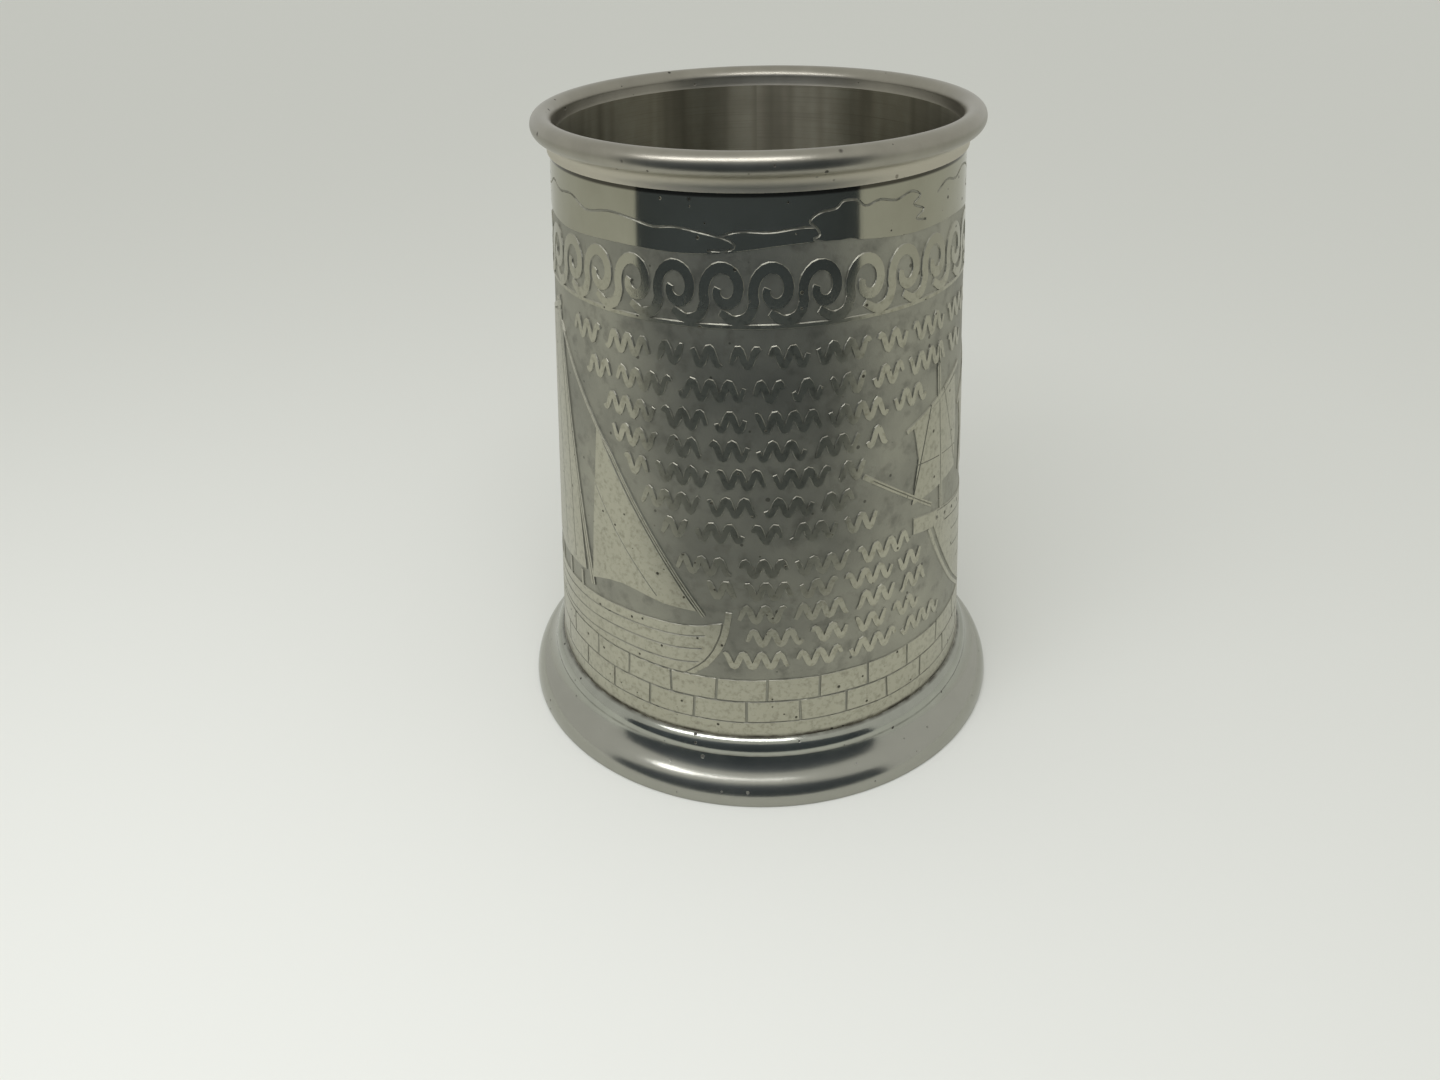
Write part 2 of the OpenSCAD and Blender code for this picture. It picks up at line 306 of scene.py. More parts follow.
def turned_metal(name, tint, rough_low, anisotropy=0.0, tarnish_and_shade_bands=(), dull=None):
    """Spun rings. Bands are (height, reach, share) in mm where the colour darkens: tarnish in hollows, and
    painted shade in a crease.
    Below a height the metal has been rubbed less and is rougher: dull is (height, rougher by, its tint); the
    lip's paler tint there is painted sheen."""
    n = Nodes(name, tint, rough_low, anisotropy=anisotropy)
    flat = n.round_body()
    lines = n.noise(n.stretched(flat, (30, 2600, 2600)), 1.0, 3)
    stain = n.noise(n.place, 120, 5, 0.6)
    fine = n.noise(n.place, 1600, 3)
    pits = n.math("MAXIMUM", n.specks(0.0013, 0.10), n.specks(0.0042, 0.14, 0.13))
    darker, lighter = tuple(0.9 * c for c in tint), tuple(1.1 * c for c in tint)
    colour = n.mix(n.ramp(stain, (0.3, 0.0), (0.7, 1.0)), darker, lighter)
    height = n.split()[2]
    # Darkened bands: tarnish and grime in hollows, and in the foot's crease also painted shade.
    for middle, reach, share in tarnish_and_shade_bands:
        off = n.math("ABSOLUTE", n.math("SUBTRACT", height, middle * MM))
        near = n.math("SUBTRACT", 1.0, n.math("DIVIDE", off, reach * MM), clamp=True)
        ragged = n.math("MULTIPLY", near, n.ramp(n.noise(n.place, 420, 4), (0.3, 0.35), (0.62, 1.0)))
        colour = n.mix(n.math("MULTIPLY", ragged, share), colour, (0.07, 0.062, 0.05))
    colour = n.mix(n.math("MULTIPLY", pits, 0.85), colour, (0.045, 0.04, 0.035))
    rough = n.math("MULTIPLY_ADD", stain, 0.12, n.math("MULTIPLY_ADD", scratches(n), 0.035, rough_low))
    rough = n.math("MULTIPLY_ADD", pits, 0.3, rough)
    # The tint below a height: on the lip it is a much paler painted sheen, for light caught from the floor.
    if dull:
        below, rougher, paler_tint_and_sheen = dull
        share = n.math("DIVIDE", n.math("SUBTRACT", below * MM, height), 1.5 * MM, clamp=True)
        colour = n.mix(n.math("MULTIPLY", share, 0.7), colour, paler_tint_and_sheen)
        rough = n.math("MULTIPLY_ADD", share, rougher, rough)
    wave = n.bump(n.noise(n.place, 60, 2), 0.00006)
    relief = n.math("MULTIPLY_ADD", lines, 0.16, n.math("MULTIPLY", fine, 0.12))
    return n.finish(colour, rough, n.bump(n.math("MULTIPLY_ADD", pits, -1.0, relief), 0.00004, wave))


def cast_metal():
    """The handle: cast, filed and polished."""
    n = Nodes("pewter_cast", (0.5, 0.5, 0.43), 0.22)
    stain, fine = n.noise(n.place, 120, 5), n.noise(n.place, 1400, 4)
    pits = n.specks(0.0022, 0.14)
    colour = n.mix(n.ramp(stain, (0.3, 0.0), (0.72, 1.0)), (0.37, 0.36, 0.295), (0.46, 0.45, 0.37))
    colour = n.mix(n.math("MULTIPLY", pits, 0.7), colour, (0.08, 0.075, 0.065))
    rough = n.math("MULTIPLY_ADD", scratches(n), 0.12, n.math("MULTIPLY_ADD", stain, 0.2, 0.08))
    normal = n.bump(n.math("MULTIPLY_ADD", pits, -1.0, n.math("MULTIPLY", fine, 0.25)), 0.00004,
                    n.bump(n.noise(n.place, 150, 2), 0.00012))
    return n.finish(colour, rough, normal)


def solder_metal():
    """The solder of the joints, lumpy and dull."""
    n = Nodes("solder", (0.42, 0.41, 0.36), 0.34)
    lumps, fine = n.noise(n.place, 480, 4), n.noise(n.place, 2600, 3)
    colour = n.mix(lumps, (0.30, 0.295, 0.25), (0.50, 0.49, 0.43))
    rough = n.math("MULTIPLY_ADD", fine, 0.25, 0.22)
    return n.finish(colour, rough, n.bump(lumps, 0.00012, n.bump(fine, 0.00002)))


def sealing_compound():
    """The black compound round the glass."""
    n = Nodes("sealant", (0.05, 0.05, 0.045), 0.7, metallic=0.0)
    grain = n.noise(n.place, 1600, 4)
    colour = n.mix(grain, (0.035, 0.035, 0.03), (0.085, 0.085, 0.075))
    return n.finish(colour, n.math("MULTIPLY_ADD", grain, 0.3, 0.5), n.bump(grain, 0.00008))


def base_glass():
    """The glass of the base, a little smeared."""
    n = Nodes("base_glass", (0.86, 0.95, 0.92), 0.03, metallic=0.0)
    n.shader.inputs["Transmission Weight"].default_value = 1.0
    n.shader.inputs["IOR"].default_value = 1.52
    smear = n.noise(n.stretched(n.place, (260, 900, 260)), 1.0, 4)
    rough = n.ramp(smear, (0.45, 0.02), (0.8, 0.16))
    return n.finish(None, rough, n.bump(n.noise(n.place, 130, 2), 0.00003))


# ---- Shapes drawn on the unrolled body, in degrees round it and millimetres up it ----

ETCHED, RAISED = 0, 1
MM_PER_DEGREE = math.radians(1) * 41.6      # at the middle of the body
SEAM_EDGE = 178                             # degrees to the plain strip beside the seam


def smooth(route, steps=6):
    """A smooth line through the points of a route."""
    ends = [route[0], *route, route[-1]]
    line = []
    for a, b, c, d in zip(ends, ends[1:], ends[2:], ends[3:]):
        for i in range(steps):
            t = i / steps
            line.append(tuple(
                0.5 * (2 * q + (r - p) * t + (2 * p - 5 * q + 4 * r - s) * t * t
                       + (3 * q - p - 3 * r + s) * t ** 3)
                for p, q, r, s in zip(a, b, c, d)))
    return line + [route[-1]]


class Sheet:
    """The flat sheet before it is rolled up. What is drawn later covers what is below it."""

    def __init__(self):
        self.points = []
        self.faces = []
        self.levels = []

    def area(self, level, outline):
        """A filled shape. The outline is a list of (degrees, height)."""
        self.face(level, [(x * MM_PER_DEGREE, z) for x, z in outline])

    def face(self, level, outline):
        twice = sum(a[0] * b[1] - b[0] * a[1] for a, b in zip(outline, outline[1:] + outline[:1]))
        if abs(twice) < 1e-6:
            return
        if twice < 0:
            outline = outline[::-1]
        first = len(self.points)
        self.points += outline
        self.faces.append(list(range(first, len(self.points))))
        self.levels.append(level)

    def line(self, level, route, width, taper=0.0):
        """A stroke along a route, in short straight pieces. Taper narrows both ends."""
        flat = [(x * MM_PER_DEGREE, z) for x, z in route]
        sides = []
        for i, (x, z) in enumerate(flat):
            ax, az = flat[max(i - 1, 0)]
            bx, bz = flat[min(i + 1, len(flat) - 1)]
            long = math.hypot(bx - ax, bz - az) or 1
            share = math.sin(math.pi * i / (len(flat) - 1))
            half = width / 2 * (1 - taper * (1 - min(1, 2 * share)))
            nx, nz = -(bz - az) / long * half, (bx - ax) / long * half
            sides.append(((x + nx, z + nz), (x - nx, z - nz)))
        for (a, b), (c, d) in zip(sides, sides[1:]):
            self.face(level, [a, b, d, c])

    def outlined(self, outline, width=0.35):
        """A raised shape inside an etched outline."""
        self.area(RAISED, outline)
        self.line(ETCHED, outline + outline[:1], width)


# ---- The picture on the body: sky, ships, rows of small waves and a brick quay ----

def draw_sky(sheet, z_top):
    """The polished sky with its cloud lines. Its lower edge wanders a little."""
    low = [(d, 108.4 + 0.8 * math.sin(math.radians(3 * d + 40)) + 0.4 * math.sin(math.radians(7 * d)))
           for d in range(-180, 181, 3)]
    sheet.area(RAISED, [(-180, z_top), *low, (180, z_top)])
    clouds = [
        [(-180, 112), (-168, 113), (-155, 111.5), (-147, 114.5), (-136, 113), (-128, 110.2), (-133, 109.6),
         (-120, 109.4), (-113, 110.6), (-105, 113.2), (-94, 113.6), (-86, 112.2), (-76, 112.6), (-70, 114.2),
         (-64, 113.2), (-56, 113.6), (-49, 112), (-40, 112.8), (-33, 112.4), (-26, 111.6), (-20, 111.9),
         (-13, 111.2), (-7.5, 110.4), (-5.5, 109.4), (-7, 108.6), (-12, 108.5)],
        [(-9, 108.2), (-6.5, 108), (-9.5, 107.9)],
        [(-9, 110.8), (-4, 111.6), (3, 111.4), (10, 111.9), (14, 111.8)],
        [(14, 111.8), (12.5, 112.8), (15, 114), (19, 114.4), (21, 115.4), (24.5, 115.3), (27, 114.2),
         (31, 114.8), (36, 114.2), (41, 115), (44.5, 114), (42, 112.8), (46, 111.6), (43, 110.4),
         (47, 109.8)],
        [(14, 111.8), (15, 110.6), (13.5, 109.9), (18, 109.2), (23, 109.3), (25.5, 108.6), (23, 108)],
        [(52, 113.4), (57, 114.8), (63, 114.2), (69, 115.4), (76, 114.6), (80, 112.6), (75, 111.4),
         (82, 110.4), (90, 111.6), (99, 111), (108, 113), (117, 112.2), (124, 114.6), (133, 114),
         (140, 111.8), (151, 113.2), (163, 112.4), (172, 113.4), (180, 112)],
    ]
    for route in clouds:
        sheet.line(ETCHED, smooth(route, 4), 0.42)


def draw_frieze(sheet):
    """A running wave: one curl after another on a common foot line."""
    pitch = 12.0
    for k in range(-14, 15):
        x, z = k * pitch + 4, 102.2
        curl = []
        for i in range(25):
            t = i / 24
            turn = math.radians(205 - 400 * t)
            wide, high = 5.3 - 3.6 * t, 4.6 - 3.3 * t
            curl.append((x + wide * math.cos(turn), z + high * math.sin(turn)))
        lead = smooth([(x - 13, 98.6), (x - 9.5, 97.2), (x - 6.2, 98), curl[0]], 4)
        sheet.line(RAISED, lead[:-1] + curl, 1.75, 0.35)
    sheet.area(RAISED, [(-176, 95.9), (176, 95.9), (176, 96.5), (-176, 96.5)])


def draw_ripples(sheet, height, start, end, dice):
    """One row of small raised waves, in groups of uneven length."""
    pitch, high = 4.6, 1.5
    x = start
    while x < end - 5:
        waves = min(dice.choice((1.5, 2, 2.5, 3, 3.5)), (end - x) / pitch)
        points = int(waves * 12)
        phase = dice.uniform(0, 6)
        route = [(x + pitch * waves * i / points,
                  height + 1.4 + high * math.sin(2 * math.pi * waves * i / points + phase))
                 for i in range(points + 1)]
        sheet.line(RAISED, route, 1.15, 0.4)
        x += waves * pitch + 2.6


def draw_seas(sheet):
    """Rows of small waves fill the space between the ships, front and back."""
    dice = random.Random(7)
    top_row, row_pitch = 89.6, 5.4
    front = [(top_row, -56, 76), (83.6, -50, 71), (78, -43, 50), (72.6, -40, 34), (67.2, -36, 33),
             (61.7, -31, 24), (56.4, -25, 31), (49.3, -21, 44), (44.4, -13, 47), (39.4, -5, 49),
             (34.2, -3, 52), (29, -9, 58)]
    back_left = [(top_row - row_pitch * k, -170, -120 + 2 * k) for k in range(12)]
    back_right = [(top_row - row_pitch * k, 152 - k, 171) for k in range(12)]
    for height, start, end in front + back_left + back_right:
        draw_ripples(sheet, height, start, end, dice)


def draw_boat(sheet):
    """The small sailing boat, left of the middle."""
    main = [(-67, 91), *smooth([(-62, 74), (-57, 56), (-53.5, 39.5)], 3),
            *smooth([(-70, 38.5), (-98, 41.5)], 3), *smooth([(-104, 62), (-101, 80)], 3), (-84, 88)]
    jib = [(-47, 73.5), *smooth([(-36, 62), (-25, 50.5), (-15.8, 40.4)], 3),
           *smooth([(-25, 40.6), (-38, 41.8), (-50.5, 39.2)], 3), (-49.5, 52)]
    sheet.outlined(main)
    sheet.outlined(jib)
    for shift in (0, 7, 14, 22, 30):
        fold = [(-68 - shift, 89 - shift / 5), (-63 - shift, 64), (-60 - shift, 40.5)]
        sheet.line(ETCHED, smooth(fold, 4), 0.22)
    sheet.line(ETCHED, smooth([(-49, 62), (-40, 53), (-27, 42)], 3), 0.2)
    sheet.line(RAISED, [(-68.5, 93.5), (-50.2, 37.5)], 1.3)
    sheet.line(ETCHED, [(-68.5, 93.5), (-50.2, 37.5)], 0.22)
    sheet.line(RAISED, [(-71, 92.5), (-41, 68.5), (-14, 39.6)], 0.75)
    sheet.line(ETCHED, [(-71, 92.5), (-41, 68.5), (-14, 39.6)], 0.2)
    sheet.line(RAISED, [(-103, 82.5), (-66.5, 92.5)], 0.9)
    top = smooth([(-8.5, 38.6), (-20, 37), (-39, 36.4), (-58, 35.2), (-76, 34.6), (-96, 36.4), (-113, 41)], 4)
    sheet.area(RAISED, [*top, (-114, 38), *smooth([(-110, 31), (-103, 26)], 3), (-19, 25),
                        *smooth([(-13, 28.5), (-9.5, 33)], 3)])
    for drop in (0, 2.4, 5.2, 8.2):
        plank = [(x * (1 - drop / 90) - drop * 0.45, z - drop * (1 + (x + 40) / 400)) for x, z in top]
        sheet.line(ETCHED, [(x, z) for x, z in plank if -110 + drop < x < -11 - drop / 2], 0.38)
    for x in (-96, -84, -73, -64, -56):
        sheet.line(RAISED, [(x, 34.5), (x - 0.4, 38.6)], 0.7)
    sheet.line(RAISED, smooth([(-7.6, 41), (-9, 35), (-12.5, 30), (-18.5, 25.8)], 4), 1.1)
    sheet.line(ETCHED, smooth([(-8.8, 40), (-10.4, 34.6), (-14, 29.6), (-20, 25.6)], 4), 0.3)


def draw_ship(sheet):
    """The tall ship, right of the middle and on round the back."""
    for x, foot, head, wide in ((56, 52, 81, 13), (88, 50, 90, 16), (121, 52, 84, 14)):
        lower = [(x - wide, foot + 5), *smooth([(x - wide + 2.5, foot + 14), (x - wide + 0.5, foot + 21)], 3),
                 (x + wide - 3, head - 3), *smooth([(x + wide - 1, foot + 16), (x + wide - 2, foot + 6)], 3)]
        sheet.outlined(lower)
        sheet.line(ETCHED, [(x - wide + 1.5, foot + 13), (x + wide - 2, foot + 11)], 0.22)
        sheet.line(RAISED, [(x - 1.5, head + 5), (x + 1.5, foot)], 1.2)
        sheet.line(ETCHED, [(x - 1.5, head + 5), (x + 1.5, foot)], 0.22)
        sheet.line(RAISED, [(x - wide - 2, foot + 20.5), (x + wide, head - 1.5)], 0.8)
        sheet.line(ETCHED, [(x - 1.3, head + 3), (x + wide, foot + 3)], 0.3)
        sheet.line(ETCHED, [(x - 1.3, head + 3), (x - wide, foot + 5)], 0.3)
    sheet.line(RAISED, [(27, 66.8), (52, 54.6)], 0.9)
    sheet.line(ETCHED, [(30, 65.4), (52, 54.6)], 0.2)
    deck = smooth([(44, 54), (60, 51.8), (85, 49), (112, 51), (131, 56), (143, 61)], 4)
    keel = smooth([(53, 49.5), (59, 41), (68, 32), (81, 24)], 4)
    stern = smooth([(146, 55), (143, 42), (136, 33), (128, 24)], 4)
    sheet.area(RAISED, deck + stern + keel[::-1])
    sheet.area(RAISED, [(x, z - 3.4) for x, z in deck][::-1] + deck)
    for drop in (0.3, 3.4, 7, 11, 15.4, 20):
        route = [(x, z - drop) for x, z in deck if x > 53 + drop * 1.1 and x < 145 - drop * 0.5]
        sheet.line(ETCHED, route, 0.32)
    sheet.line(ETCHED, keel, 0.34)
    sheet.line(RAISED, [(x - 2, z) for x, z in keel], 0.8)
    for i in range(3, len(deck) - 1):
        x, z = deck[i]
        sheet.area(ETCHED, [(x + 0.7 * math.cos(a), z - 1.8 + 0.5 * math.sin(a))
                            for a in (k * math.pi / 4 for k in range(8))])


def draw_quay(sheet, z_low):
    """Two courses of bricks with a plain strip below them."""
    courses = (25.95, 20.75, 15.7)
    sheet.area(RAISED, [(-180, z_low), (180, z_low), (180, courses[0]), (-180, courses[0])])
    for height in courses:
        wander = [(d, height + 0.07 * math.sin(d / 9) + 0.05 * math.sin(d / 3.1))
                  for d in range(-SEAM_EDGE, SEAM_EDGE + 1, 4)]
        sheet.line(ETCHED, wander, 0.46 if height > 16 else 0.34)
    dice = random.Random(3)
    for high, low, first in ((courses[0], courses[1], -177.5), (courses[1], courses[2], -171)):
        x = first
        while x < SEAM_EDGE:
            lean = dice.uniform(-0.25, 0.25)
            sheet.line(ETCHED, [(x + lean, high), (x - lean, low)], 0.52)
            x += dice.uniform(12.2, 13.6)


def draw_picture(z_low, z_high):
    sheet = Sheet()
    draw_seas(sheet)
    draw_frieze(sheet)
    draw_boat(sheet)
    draw_ship(sheet)
    draw_sky(sheet, z_high)
    draw_quay(sheet, z_low)
    for side in (-1, 1):
        near, far = side * SEAM_EDGE, side * 180
        sheet.area(RAISED, [(near, z_low), (far, z_low), (far, z_high), (near, z_high)])
    return sheet


# ---- Meshes ----

def new_object(name, verts, faces, normals, materials, indices=None):
    """A smooth mesh object from points in mm, with one normal for each corner of each face."""
    mesh = bpy.data.meshes.new(name)
    mesh.from_pydata([Vector(v) * MM for v in verts], [], faces)
    for material in materials:
        mesh.materials.append(material)
    if indices:
        mesh.polygons.foreach_set("material_index", indices)
    mesh.polygons.foreach_set("use_smooth", [True] * len(faces))
    if normals:
        mesh.normals_split_custom_set(normals)
    mesh.update()
    piece = bpy.data.objects.new(name, mesh)
    bpy.context.scene.collection.objects.link(piece)
    return piece


def widest(node, end):
    """The outer radius and the height of a node's lowest or highest ring, in mm."""
    points = [v.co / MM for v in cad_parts[node].data.vertices]
    height = end(p.z for p in points)
    return max(math.hypot(p.x, p.y) for p in points if abs(p.z - height) < 0.01), height


class Body:
    """The cone of the body, measured on the CAD barrel."""

    def __init__(self):
        self.low_r, self.low_z = widest("barrel", min)
        self.high_r, self.high_z = widest("barrel", max)
        self.taper = (self.low_r - self.high_r) / (self.high_z - self.low_z)
        slope = math.atan(self.taper)
        self.out, self.up = math.cos(slope), math.sin(slope)

    def r(self, z):
        return self.low_r - self.taper * (z - self.low_z)

    def angle(self, x, z):
        """The angle round the body of a point of the sheet, with the gap at the back left open."""
        return x / (180 * MM_PER_DEGREE) * (math.pi - math.asin(SEAM_HALF / self.r(z)))

    def point(self, x, z, inwards=0.0):
        turn, r = self.angle(x, z), self.r(z) - inwards
        return r * math.sin(turn), -r * math.cos(turn), z

    def normal(self, x, z, side=1):
        turn = self.angle(x, z)
        return Vector((self.out * math.sin(turn), -self.out * math.cos(turn), self.up)) * side


BODY_WALL = 1.0
ETCH_DEPTH = 0.2
ETCH_SLOPE = 0.15           # how far an etched edge leans out
SEAM_HALF = 0.3             # half the width of the solder line at the back
body = Body()


def cut_sheet(sheet):
    """Splits the unrolled body along every outline. Returns points, triangles and their levels."""
    side, low, high = 180 * MM_PER_DEGREE, body.low_z, body.high_z
    points = [(-side, low), (side, low), (side, high), (-side, high)]
    edges = [(0, 1), (1, 2), (2, 3), (3, 0)]
    for k in range(-89, 90):
        edges.append((len(points), len(points) + 1))
        points += [(2 * k * MM_PER_DEGREE, low), (2 * k * MM_PER_DEGREE, high)]
    first = len(points)
    points += sheet.points
    for face in sheet.faces:
        edges += [(first + a, first + b) for a, b in zip(face, face[1:] + face[:1])]
    cut = delaunay_2d_cdt([Vector(p) for p in points], edges, [], 0, 1e-4, False)
    points = [tuple(p) for p in cut[0]]
    triangles = [tuple(f) for f in cut[2]]
    middles = sorted((sum(points[i][0] for i in f) / 3, sum(points[i][1] for i in f) / 3, n)
                     for n, f in enumerate(triangles))
    starts = [m[0] for m in middles]
    levels = [ETCHED] * len(triangles)
    for face, level in zip(sheet.faces, sheet.levels):
        outline = [sheet.points[i] for i in face]
        a, b = min(p[0] for p in outline), max(p[0] for p in outline)
        c, d = min(p[1] for p in outline), max(p[1] for p in outline)
        for x, z, n in middles[bisect.bisect_left(starts, a):bisect.bisect_right(starts, b)]:
            if c < z < d and inside(outline, x, z):
                levels[n] = level
    return points, triangles, levels


def inside(outline, x, z):
    hit = False
    for (ax, az), (bx, bz) in zip(outline, outline[1:] + outline[:1]):
        if (az > z) != (bz > z) and x < ax + (z - az) * (bx - ax) / (bz - az):
            hit = not hit
    return hit


def lean_out(points, triangles, levels, rims):
    """Where the foot of each etched edge goes: a little way into the etched ground."""
    push = {}
    for a, b in rims:
        (ax, az), (bx, bz) = points[a], points[b]
        long = math.hypot(bx - ax, bz - az)
        for i in (a, b):
            x, z = push.get(i, (0, 0))
            push[i] = (x + (bz - az) / long, z - (bx - ax) / long)
    room = {i: ETCH_SLOPE for i in push}
    for triangle, level in zip(triangles, levels):
        if level == RAISED:
            continue
        for n, i in enumerate(triangle):
            if i in room:
                p, a, b = (points[triangle[(n + k) % 3]] for k in range(3))
                long = math.hypot(b[0] - a[0], b[1] - a[1])
                tall = abs((b[0] - a[0]) * (p[1] - a[1]) - (b[1] - a[1]) * (p[0] - a[0])) / long
                room[i] = min(room[i], 0.35 * tall)
    feet = list(points)
    for i, (x, z) in push.items():
        long = math.hypot(x, z)
        if long > 0.1:
            feet[i] = (points[i][0] + x / long * room[i], points[i][1] + z / long * room[i])
    return feet


def make_body(materials):
    """The rolled sheet: raised and etched faces, the edges between them, and the brushed inside."""
    points, triangles, levels = cut_sheet(draw_picture(body.low_z, body.high_z))
    owner = {}
    for n, (a, b, c) in enumerate(triangles):
        for edge in ((a, b), (b, c), (c, a)):
            owner[edge] = n
    rims = [(a, b) for (a, b), n in owner.items()
            if levels[n] == RAISED and (b, a) in owner and levels[owner[(b, a)]] == ETCHED]
    feet = lean_out(points, triangles, levels, rims)
    verts, faces, normals, indices, place = [], [], [], [], {}

    def corner(i, level):
        if (i, level) not in place:
            place[(i, level)] = len(verts)
            x, z = points[i] if level == RAISED else feet[i]
            verts.append(body.point(x, z, 0 if level == RAISED else ETCH_DEPTH))
        return place[(i, level)]

    def add(face, its_normals, index):
        faces.append(face)
        normals.extend(its_normals)
        indices.append(index)

    for triangle, level in zip(triangles, levels):
        where = points if level == RAISED else feet
        add([corner(i, level) for i in triangle], [body.normal(*where[i]) for i in triangle],
            0 if level == RAISED else 1)
    for a, b in rims:
        ring = [corner(a, ETCHED), corner(b, ETCHED), corner(b, RAISED), corner(a, RAISED)]
        p, q, r = (Vector(verts[i]) for i in ring[:3])
        flat = (q - p).cross(r - p).normalized()
        round_off = [(flat + body.normal(*points[i]) * 0.45).normalized() for i in (a, b, b, a)]
        add(ring, round_off, 1)
    side = 180 * MM_PER_DEGREE
    rings = {z: [corner(i, RAISED) for i in sorted((i for i, p in enumerate(points) if abs(p[1] - z) < 1e-3),
                                                   key=lambda i: points[i][0])]
             for z in (body.low_z, body.high_z)}
    grid = [2 * k * MM_PER_DEGREE for k in range(-90, 91)]
    inner = {}
    for z in rings:
        inner[z] = list(range(len(verts), len(verts) + len(grid)))
        verts.extend(body.point(x, z, BODY_WALL) for x in grid)
    low, high = body.low_z, body.high_z
    for k, (x, y) in enumerate(zip(grid, grid[1:])):
        add([inner[low][k + 1], inner[low][k], inner[high][k], inner[high][k + 1]],
            [body.normal(v, low, -1) for v in (y, x, x, y)], 2)
        add([rings[low][k], inner[low][k], inner[low][k + 1], rings[low][k + 1]], [(0, 0, -1)] * 4, 2)
        add([rings[high][k + 1], inner[high][k + 1], inner[high][k], rings[high][k]], [(0, 0, 1)] * 4, 2)
    for end, way in ((-side, 1), (side, -1)):
        edge = sorted((i for i, p in enumerate(points) if abs(p[0] - end) < 1e-3), key=lambda i: points[i][1])
        k = 0 if way == 1 else -1
        face = [corner(i, RAISED) for i in edge] + [inner[high][k], inner[low][k]]
        add(face[::way], [(way, 0, 0)] * len(face), 2)
    return new_object("body_sheet", verts, faces, normals, materials, indices)


def arc(x, z, r, start, end, steps):
    """Points on an arc round (x, z), from one angle to another in degrees."""
    turns = [math.radians(start + (end - start) * i / steps) for i in range(steps + 1)]
    return [(x + r * math.cos(t), z + r * math.sin(t)) for t in turns]


def lathe(name, outline, material, segments=240):
    """A ring turned from a closed outline of (radius, height) points, anticlockwise."""
    count = len(outline)
    ways = []
    for (a, b), (c, d) in zip(outline, outline[1:] + outline[:1]):
        long = math.hypot(c - a, d - b)
        ways.append(((d - b) / long, -(c - a) / long))

    def blend(own, other):
        """The normal at a corner: shared with the next stretch unless the corner is sharp."""
        if own[0] * other[0] + own[1] * other[1] < math.cos(math.radians(32)):
            return own
        x, z = own[0] + other[0], own[1] + other[1]
        return x / math.hypot(x, z), z / math.hypot(x, z)

    verts, faces, normals = [], [], []
    turns = [2 * math.pi * k / segments for k in range(segments)]
    for t in turns:
        verts += [(r * math.sin(t), -r * math.cos(t), z) for r, z in outline]
    for k, t in enumerate(turns):
        after = (k + 1) % segments
        for i in range(count):
            j = (i + 1) % count
            faces.append([k * count + i, after * count + i, after * count + j, k * count + j])
            start, end = blend(ways[i], ways[i - 1]), blend(ways[i], ways[j])
            for (x, z), turn in ((start, t), (start, turns[after]), (end, turns[after]), (end, t)):
                normals.append(Vector((x * math.sin(turn), -x * math.cos(turn), z)))
    return new_object(name, verts, faces, normals, [material])


# ---- Lip, foot and handle, as in the CAD model but with smooth curves ----

def make_lip(material):
    bead_r, cove_r, collar_step, lap = 2.0, 2.2, 0.5, 3.0
    lip_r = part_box("lip_mount")[1].x / MM - bead_r
    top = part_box("lip_mount")[1].z / MM
    collar_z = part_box("lip_mount")[0].z / MM
    solder = 0.15
    collar_r = body.r(collar_z) + collar_step
    across = lip_r - collar_r - cove_r
    rise = math.sqrt((bead_r + cove_r) ** 2 - across ** 2)
    meet = math.degrees(math.atan2(rise, across))
    lap_z = collar_z + lap
    outline = [(body.r(collar_z) + solder, collar_z), (collar_r - 0.12, collar_z),
               (collar_r - 0.03, collar_z + 0.04), (collar_r, collar_z + 0.14)]
    outline += arc(collar_r + cove_r, top - bead_r - rise, cove_r, 180, meet, 16)
    outline += arc(lip_r, top - bead_r, bead_r, meet - 180, 180, 56)[1:]
    outline += [(body.r(lap_z) - BODY_WALL, lap_z), (body.r(lap_z) + solder, lap_z)]
    return lathe("lip_ring", outline, material)


